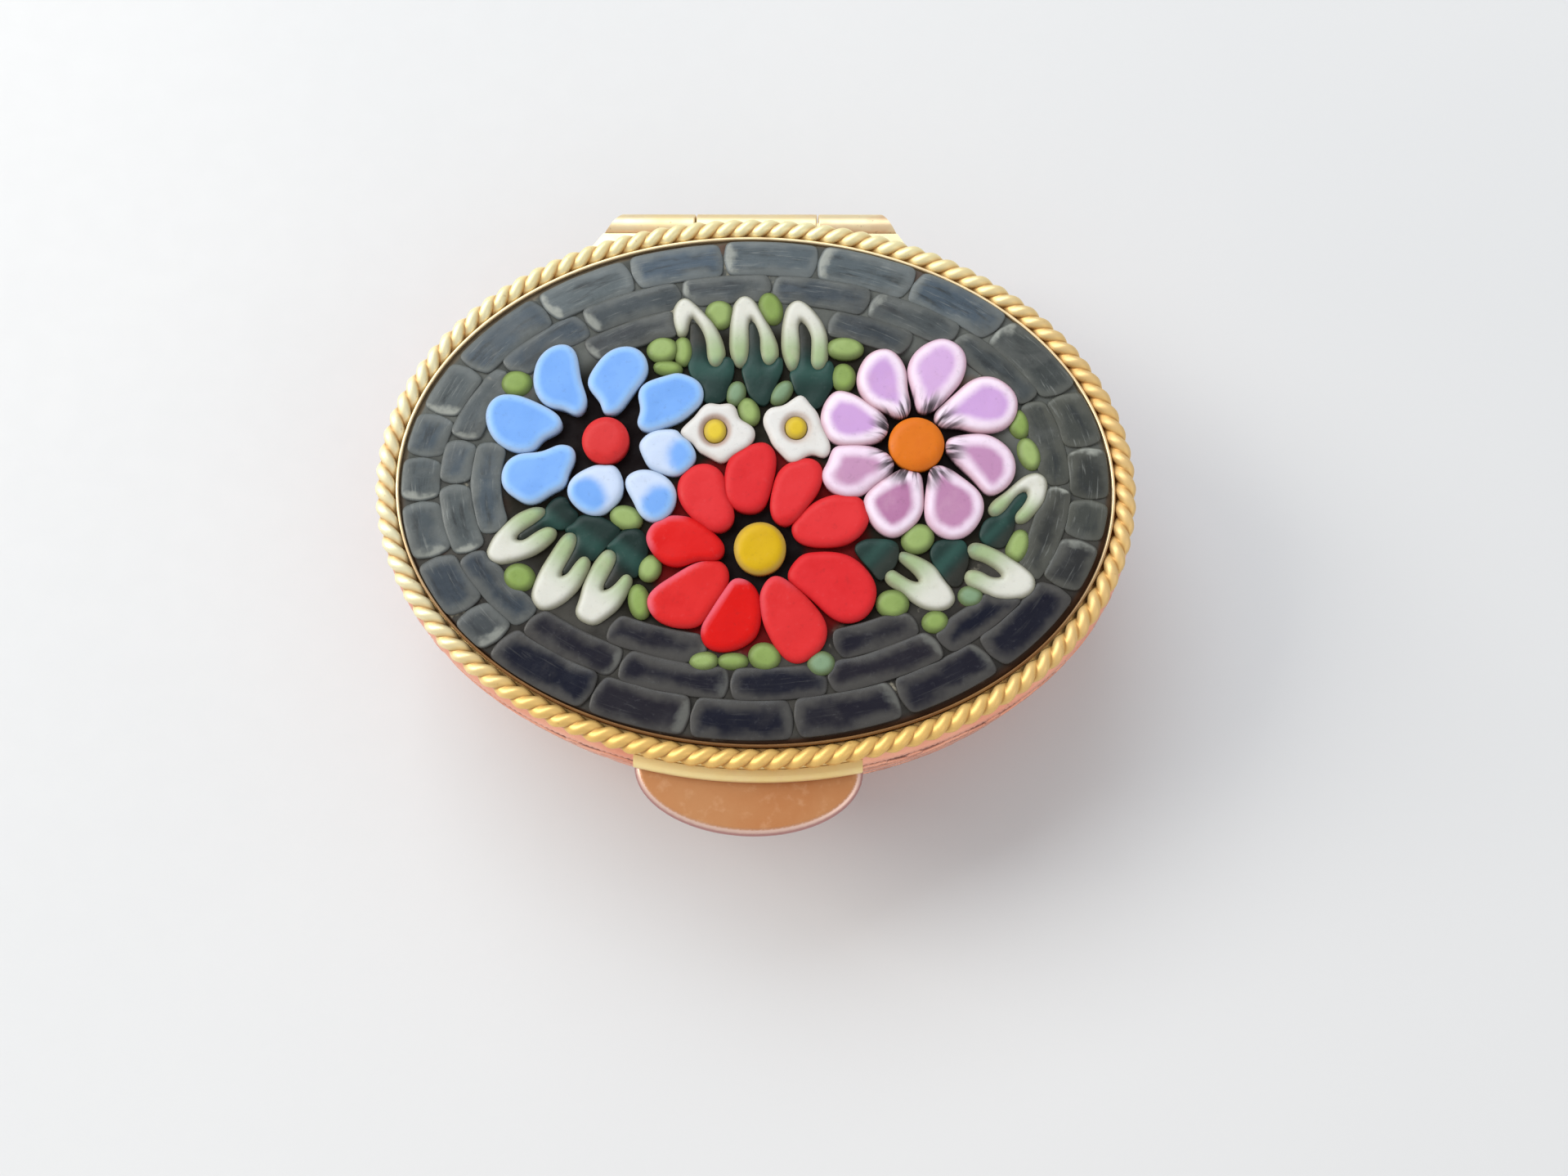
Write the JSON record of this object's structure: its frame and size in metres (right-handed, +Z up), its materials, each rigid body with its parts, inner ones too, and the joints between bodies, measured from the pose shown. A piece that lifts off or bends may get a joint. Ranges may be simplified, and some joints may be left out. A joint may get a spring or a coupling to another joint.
{
  "type": "pill box",
  "caption": "Oval hinged pill box with a glass micromosaic flower lid, a twisted rope border, a rear barrel hinge and a front thumb tab.",
  "frame": {"origin": "underside of the box, at the centre of the oval", "axes": "+Z up through the lid, +X along the oval's long axis, -Y towards the thumb tab, +Y towards the hinge"},
  "size_m": [0.0434, 0.0388, 0.0138],
  "materials": {
    "gilt_brass": "gilt, polished with light wear",
    "gilt_rope": "gilt twisted wire",
    "mastic": "matt cement",
    "field_glass": "glossy opaque dark grey glass",
    "blue_glass": "glossy opaque glass",
    "pink_glass": "glossy opaque cased glass",
    "red_glass": "glossy opaque glass",
    "orange_glass": "glossy opaque glass",
    "yellow_glass": "glossy opaque glass",
    "white_glass": "glossy opaque glass",
    "cream_green_glass": "glossy opaque glass, cream to pale green",
    "dark_green_glass": "glossy opaque glass",
    "bud_green_glass": "glossy opaque glass"
  },
  "bodies": {
    "base": {"base_floor": "gilt_brass", "base_wall": "gilt_brass", "base_liner": "gilt_brass", "base_hinge_leaf": "gilt_brass", "hinge_pin": "gilt_brass"},
    "lid": {"lid_wall": "gilt_brass", "lid_plate": "gilt_brass", "lid_hinge_leaf": "gilt_brass", "thumb_tab": "gilt_brass", "bezel_collar": "gilt_brass", "rope_wire": "gilt_rope", "mosaic_bed": "mastic", "field_row_1": "field_glass", "field_row_2": "field_glass", "field_row_3": "field_glass", "blue_petals": "blue_glass", "blue_flower_centre": "red_glass", "pink_petals": "pink_glass", "pink_flower_centre": "orange_glass", "red_petals": "red_glass", "red_flower_centre": "yellow_glass", "daisy_petals": "white_glass", "daisy_centres": "yellow_glass", "leaf_tips": "cream_green_glass", "leaf_bodies": "dark_green_glass", "buds": "bud_green_glass"}
  },
  "joints": [
    {"name": "lid_hinge", "type": "hinge", "parent": "base", "child": "lid", "pos_m": [0, 0.01815, 0.0087], "axis": [-1, 0, 0], "range_deg": [0, 105]}
  ]
}
